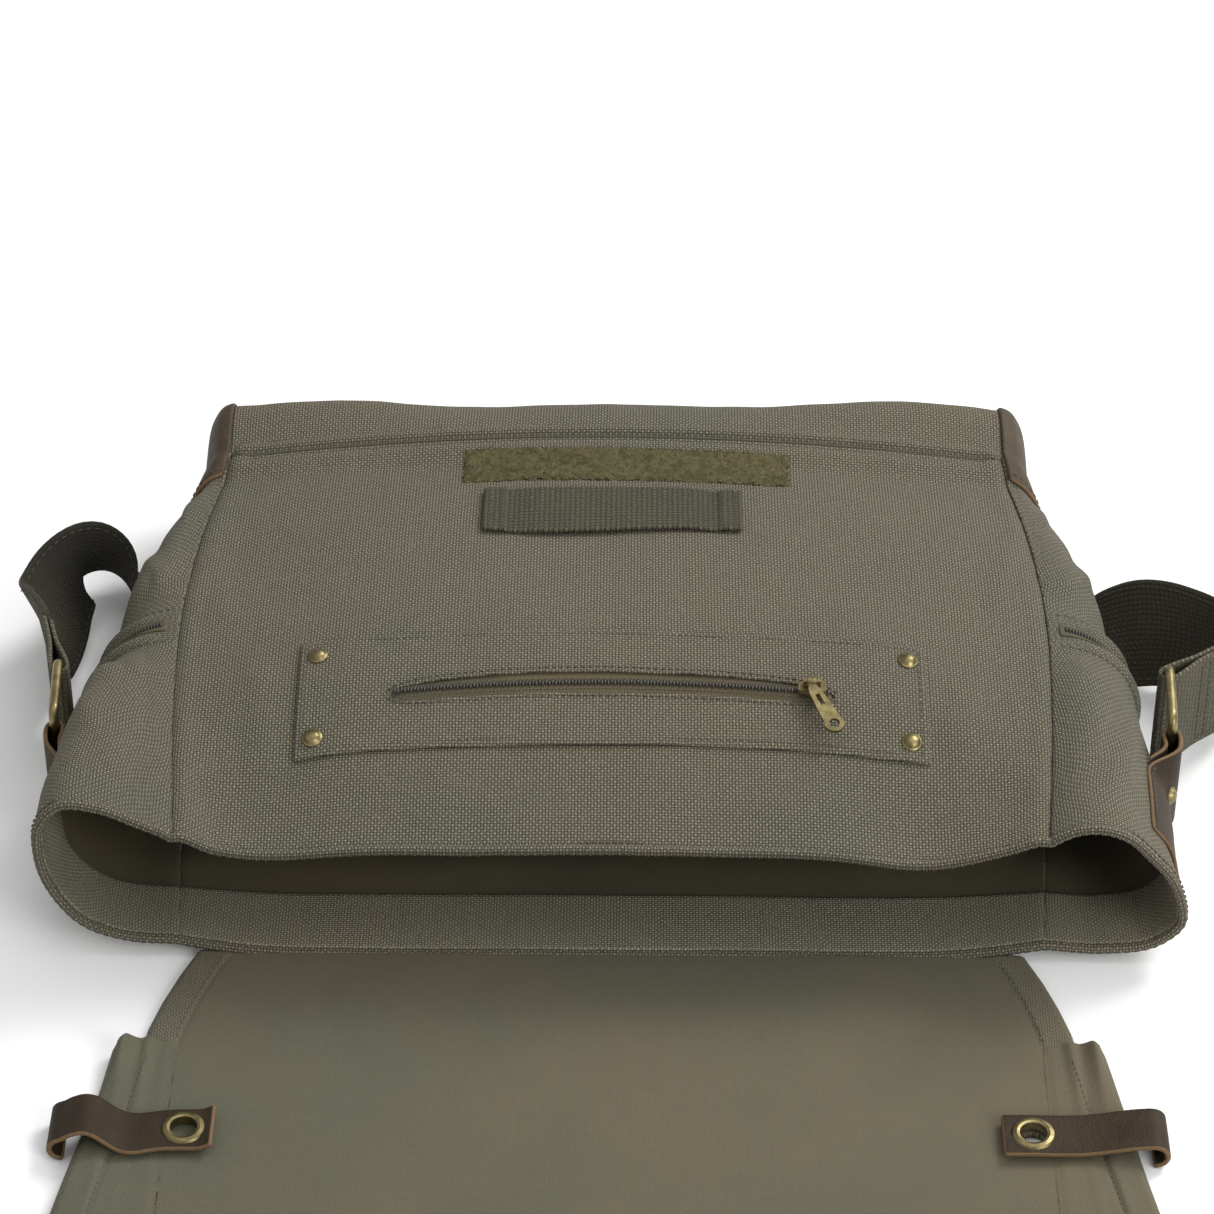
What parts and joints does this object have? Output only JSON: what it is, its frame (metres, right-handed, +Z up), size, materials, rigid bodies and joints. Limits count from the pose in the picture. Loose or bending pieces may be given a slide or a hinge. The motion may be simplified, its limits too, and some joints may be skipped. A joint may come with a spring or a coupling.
{
  "type": "messenger bag",
  "caption": "Soft canvas messenger bag lying on its back with its flap laid open: gussets, front zip pocket, leather tabs, ring hardware and webbing shoulder strap.",
  "frame": {"origin": "under the middle of the bag with its flap open, on the surface it lies on", "axes": "+X across the bag to its right as seen from the mouth, +Y from the flap's free end to the bag's bottom, +Z up out of the front panel"},
  "size_m": [0.5828, 0.6956, 0.0967],
  "materials": {
    "canvas": "olive-drab plain-weave cotton canvas",
    "lining": "smooth olive cotton lining",
    "zip_tape": "woven olive tape",
    "leather": "dark brown waxed leather with raw tan edges",
    "brass": "antique brass, satin",
    "zip_coil": "black nylon coil",
    "hook_and_loop": "fuzzy olive-gold hook and loop tape",
    "webbing": "coarse cotton webbing"
  },
  "bodies": {
    "bag": {"front_panel": "canvas", "back_panel": "canvas", "gusset_left": "canvas", "gusset_right": "canvas", "bottom_panel": "canvas", "corner_leather_left": "leather", "corner_leather_right": "leather", "mouth_facing": "canvas", "body_lining": "lining", "pocket_patch": "canvas", "patch_rivets": "brass", "patch_zip_tape": "zip_tape", "patch_zip_coil": "zip_coil", "loop_strip": "hook_and_loop", "webbing_loop": "webbing", "side_zip_tape_left": "zip_tape", "side_zip_tape_right": "zip_tape", "side_zip_coil_left": "zip_coil", "side_zip_coil_right": "zip_coil", "strap_tab_left": "leather", "strap_tab_right": "leather", "tab_rivets": "brass", "strap_end_left": "webbing", "strap_end_right": "webbing", "strap_webbing": "webbing"},
    "patch_slider": {"patch_slider": "brass"},
    "patch_puller": {"patch_puller": "brass"},
    "side_slider_left": {"side_slider_left": "brass"},
    "side_slider_right": {"side_slider_right": "brass"},
    "side_puller_left": {"side_puller_left": "brass"},
    "side_puller_right": {"side_puller_right": "brass"},
    "ring_left": {"ring_left": "brass"},
    "ring_right": {"ring_right": "brass"},
    "flap_top": {"flap_top_canvas": "canvas", "flap_top_lining": "lining"},
    "flap_front": {"flap_front_canvas": "canvas", "flap_front_lining": "lining", "flap_wing_left": "canvas", "flap_wing_right": "canvas", "hook_strip": "hook_and_loop"},
    "flap_tab_left": {"flap_tab_left": "leather", "eyelet_left": "brass"},
    "flap_tab_right": {"flap_tab_right": "leather", "eyelet_right": "brass"}
  },
  "joints": [
    {"name": "flap_hinge", "type": "hinge", "parent": "bag", "child": "flap_top", "pos_m": [0, 0.0322, 0.0015], "axis": [1, 0, 0], "range_deg": [-90, 0]},
    {"name": "flap_fold", "type": "hinge", "parent": "flap_top", "child": "flap_front", "pos_m": [0, -0.0678, 0.0015], "axis": [1, 0, 0], "range_deg": [-90, 0]},
    {"name": "patch_zip", "type": "slide", "parent": "bag", "child": "patch_slider", "axis": [-1, 0, 0], "range_m": [0, 0.176]},
    {"name": "patch_puller_turn", "type": "hinge", "parent": "patch_slider", "child": "patch_puller", "pos_m": [0.088, 0.1112, 0.09479], "axis": [-1, 0, 0], "range_deg": [0, 150]},
    {"name": "side_zip_left", "type": "hinge", "parent": "bag", "child": "side_slider_left", "pos_m": [-0.19628, 0.1682, 0.03978], "axis": [0, 1, 0], "range_deg": [0, 76]},
    {"name": "side_puller_left_turn", "type": "hinge", "parent": "side_slider_left", "child": "side_puller_left", "pos_m": [-0.23355, 0.1682, 0.01066], "axis": [-0.6157, 0, 0.788], "range_deg": [0, 40]},
    {"name": "ring_left_swing", "type": "hinge", "parent": "bag", "child": "ring_left", "pos_m": [-0.24982, 0.1182, 0.03983], "axis": [0, 0, 1], "range_deg": [-4, 4]},
    {"name": "flap_tab_left_lift", "type": "hinge", "parent": "flap_front", "child": "flap_tab_left", "pos_m": [-0.22724, -0.0803, 0.0064], "axis": [0, -1, 0], "range_deg": [0, 90]},
    {"name": "side_zip_right", "type": "hinge", "parent": "bag", "child": "side_slider_right", "pos_m": [0.19628, 0.1682, 0.03978], "axis": [0, -1, 0], "range_deg": [0, 76]},
    {"name": "side_puller_right_turn", "type": "hinge", "parent": "side_slider_right", "child": "side_puller_right", "pos_m": [0.23355, 0.1682, 0.01066], "axis": [-0.6157, 0, -0.788], "range_deg": [0, 40]},
    {"name": "ring_right_swing", "type": "hinge", "parent": "bag", "child": "ring_right", "pos_m": [0.24982, 0.1182, 0.03983], "axis": [0, 0, 1], "range_deg": [-4, 4]},
    {"name": "flap_tab_right_lift", "type": "hinge", "parent": "flap_front", "child": "flap_tab_right", "pos_m": [0.22724, -0.0803, 0.0064], "axis": [0, 1, 0], "range_deg": [0, 90]}
  ],
  "couplings": [
    {"joint": "flap_fold", "follows": "flap_hinge", "ratio": 1}
  ]
}
